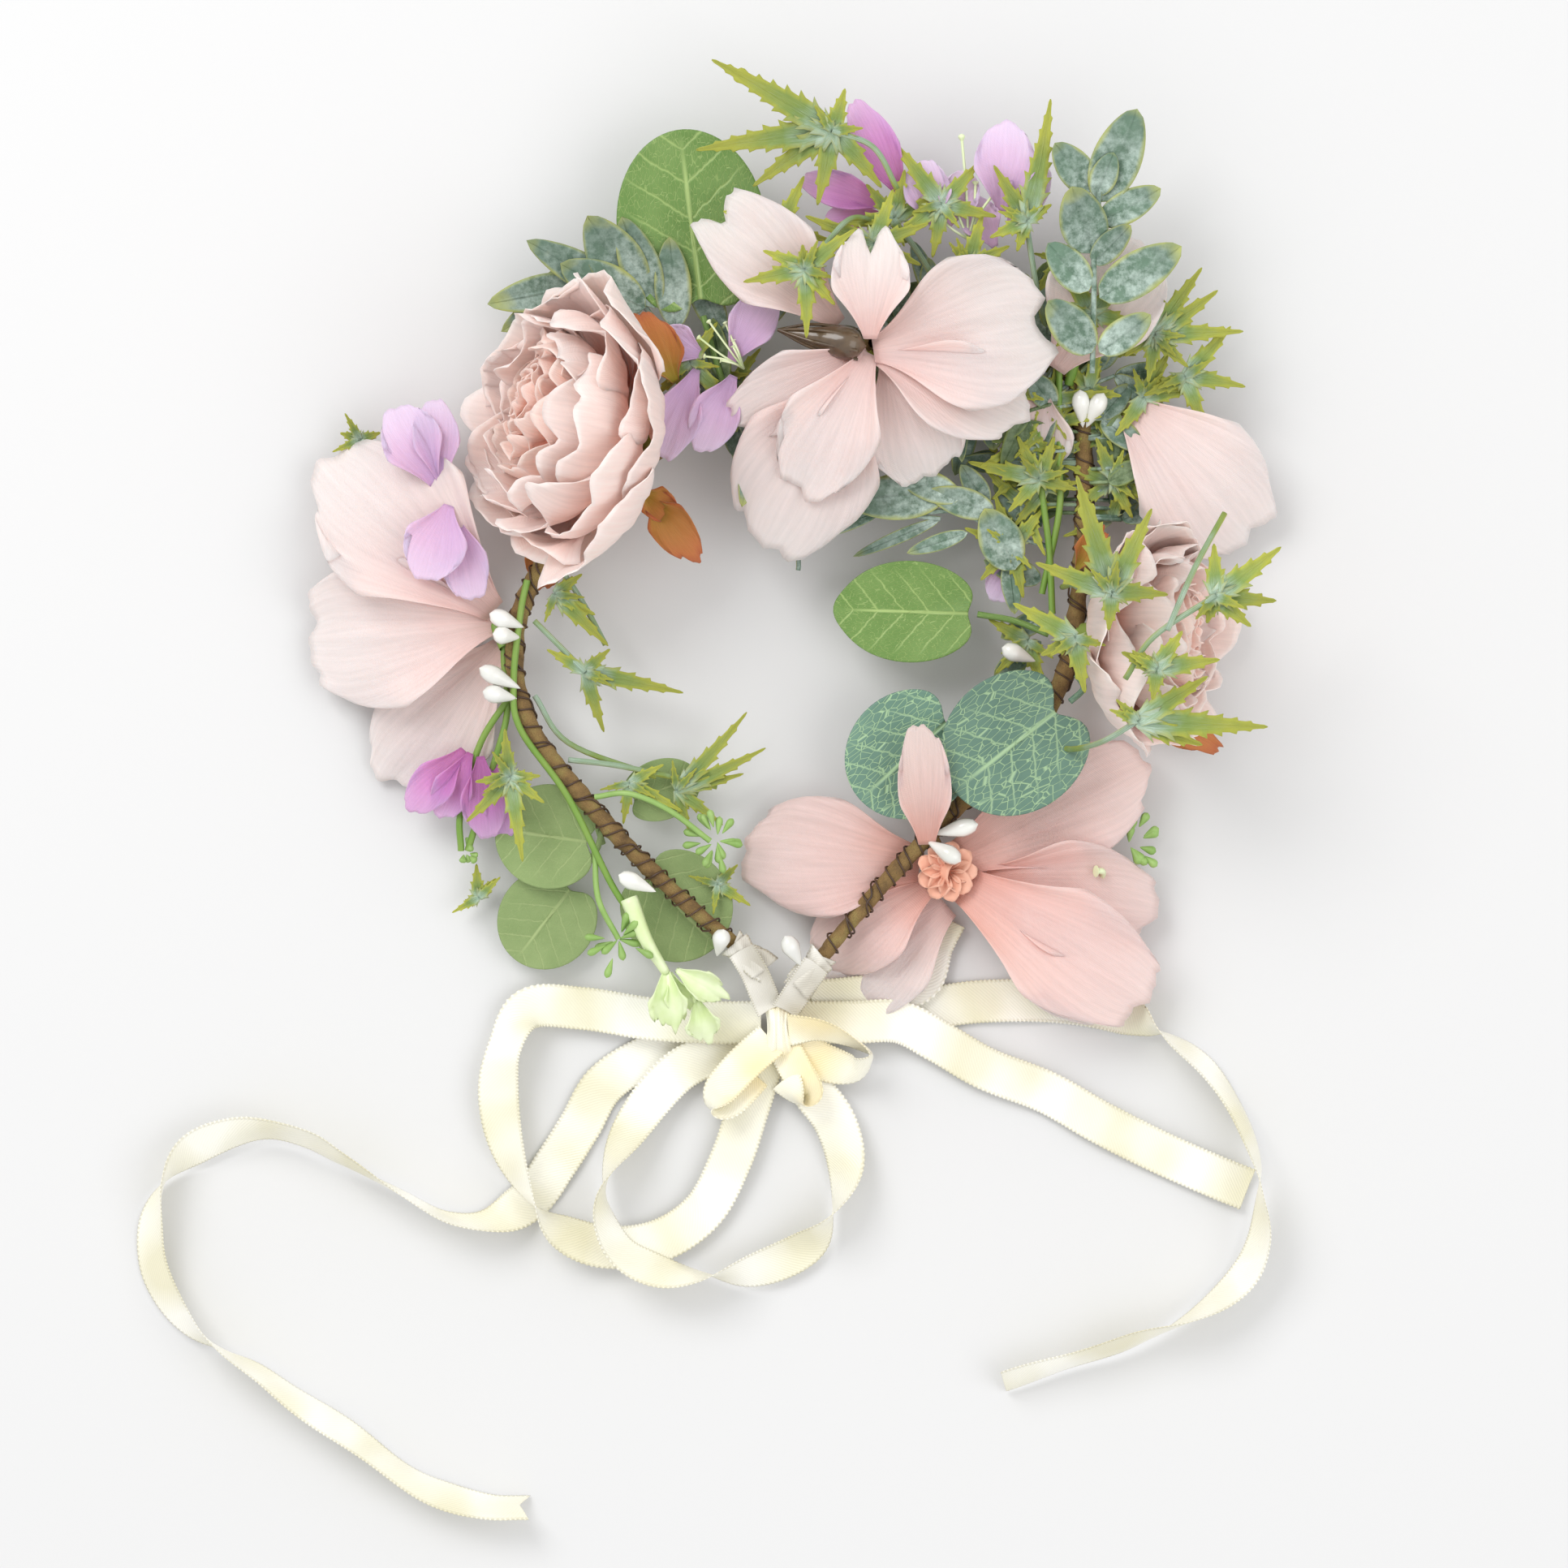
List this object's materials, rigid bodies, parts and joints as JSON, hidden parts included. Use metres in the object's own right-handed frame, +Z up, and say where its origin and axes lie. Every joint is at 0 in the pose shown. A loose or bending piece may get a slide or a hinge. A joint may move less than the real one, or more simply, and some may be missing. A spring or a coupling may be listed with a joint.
{
  "type": "flower crown",
  "caption": "Taped wire hoop dressed with cloth flowers, leaves and pips, open at the back and closed with a satin ribbon bow.",
  "frame": {"origin": "middle of the hoop, on the surface that the crown lies on", "axes": "+Z up through the head opening, +Y towards the front of the crown, -Y towards the bow at the back, +X towards the small peony"},
  "size_m": [0.3371, 0.4296, 0.0737],
  "materials": {
    "bark_tape": "floral paper tape, crinkled, matte",
    "dark_wire": "thin brown coated wire",
    "satin_tab": "silvery white satin",
    "green_stem": "moulded green stem",
    "peony_outer": "pale pink cloth petals",
    "peony_inner": "peach cloth petals",
    "calyx_green": "moulded green cup",
    "sepal_orange": "orange and olive cloth sepals",
    "blossom_cloth": "pale pink satin cloth, frayed cut edges",
    "calyx_dark": "dark glossy brown",
    "tie_cloth": "warm pink satin cloth",
    "peach_base": "peach moulded collar",
    "lilac_cloth": "lilac cloth petals",
    "magenta_cloth": "magenta cloth petals",
    "leaf_green": "printed green leaf with pale veins",
    "leaf_blue": "blue-green leaf with a pale net of veins",
    "leaf_olive": "matte olive cloth leaf",
    "leaf_frosted": "grey-green leaf, frosted, with yellow rims",
    "thistle_green": "yellow-green spiny leaf with a frosted middle",
    "pip_white": "glossy white",
    "bud_green": "soft moulded green buds",
    "bell_pale": "pale translucent green",
    "ribbon_cream": "cream satin ribbon with picot edges"
  },
  "bodies": {
    "hoop": {"hoop_wire_right": "dark_wire", "hoop_tape_right": "bark_tape", "binding_wire_right": "dark_wire", "end_tab_right": "satin_tab", "stem_bundle_right": "green_stem", "peony_right_stem": "green_stem", "peony_right_sepals": "sepal_orange", "blossom_front_petals": "blossom_cloth", "blossom_front_calyx": "calyx_dark", "blossom_front_stem": "calyx_dark", "blossom_right_petals": "blossom_cloth", "blossom_right_stem": "green_stem", "blossom_tie_petals": "tie_cloth", "blossom_tie_base": "peach_base", "blossom_tie_stem": "calyx_dark", "lilac_front": "magenta_cloth", "eucalyptus_inner": "leaf_green", "boxwood_inner": "leaf_frosted", "thistle_right": "thistle_green", "berry_pips_right": "pip_white", "ribbon_knot": "ribbon_cream", "bow_loop_right": "ribbon_cream", "bow_loop_left": "ribbon_cream", "ribbon_loop_outer": "ribbon_cream", "ribbon_loop_inner": "ribbon_cream", "ribbon_tail_left": "ribbon_cream", "ribbon_tail_right": "ribbon_cream", "ribbon_tail_long": "ribbon_cream", "ribbon_riser": "ribbon_cream"},
    "left_arm": {"hoop_wire_left": "dark_wire", "hoop_tape_left": "bark_tape", "binding_wire_left": "dark_wire", "end_tab_left": "satin_tab", "stem_bundle_left": "green_stem", "peony_left_stem": "green_stem", "peony_left_sepals": "sepal_orange", "blossom_left_petals": "blossom_cloth", "blossom_left_stem": "green_stem", "lilac_left": "lilac_cloth", "lilac_middle": "lilac_cloth", "lilac_low": "magenta_cloth", "eucalyptus_front": "leaf_green", "eucalyptus_low": "leaf_olive", "boxwood_front": "leaf_frosted", "thistle_left": "thistle_green", "frond_low": "thistle_green", "berry_pips_left": "pip_white", "bud_spray": "bud_green", "bell_spray": "bell_pale"},
    "peony_left": {"peony_left_petals": "peony_outer", "peony_left_core": "peony_inner", "peony_left_calyx": "calyx_green"},
    "peony_right": {"peony_right_petals": "peony_outer", "peony_right_core": "peony_inner", "peony_right_calyx": "calyx_green"},
    "sprig_tall": {"boxwood_tall": "leaf_frosted"},
    "sprig_front": {"thistle_front": "thistle_green"},
    "leaf_pair": {"eucalyptus_pair": "leaf_blue"}
  },
  "joints": [
    {"name": "hoop_open", "type": "hinge", "parent": "hoop", "child": "left_arm", "pos_m": [0.018, 0.092, 0.016], "axis": [0, 0, -1], "range_deg": [0, 5], "stiffness_Nm_per_rad": 0.5},
    {"name": "peony_left_turn", "type": "hinge", "parent": "left_arm", "child": "peony_left", "pos_m": [-0.038, 0.066, 0.016], "axis": [-0.7413, 0.0518, 0.6691], "range_deg": [-15, 15]},
    {"name": "peony_right_turn", "type": "hinge", "parent": "hoop", "child": "peony_right", "pos_m": [0.081, 0.009, 0.016], "axis": [0.818, -0.0429, 0.5736], "range_deg": [-15, 15]},
    {"name": "sprig_tall_bend", "type": "hinge", "parent": "hoop", "child": "sprig_tall", "pos_m": [0.088, 0.084, 0.0364], "axis": [1, 0, 0], "range_deg": [0, 30]},
    {"name": "sprig_front_bend", "type": "hinge", "parent": "hoop", "child": "sprig_front", "pos_m": [0.03, 0.138, 0.0344], "axis": [0.6947, 0.7193, 0], "range_deg": [0, 30]},
    {"name": "leaf_pair_bend", "type": "hinge", "parent": "hoop", "child": "leaf_pair", "pos_m": [0.084, -0.004, 0.0236], "axis": [-0.6428, 0.766, 0], "range_deg": [0, 25]}
  ]
}
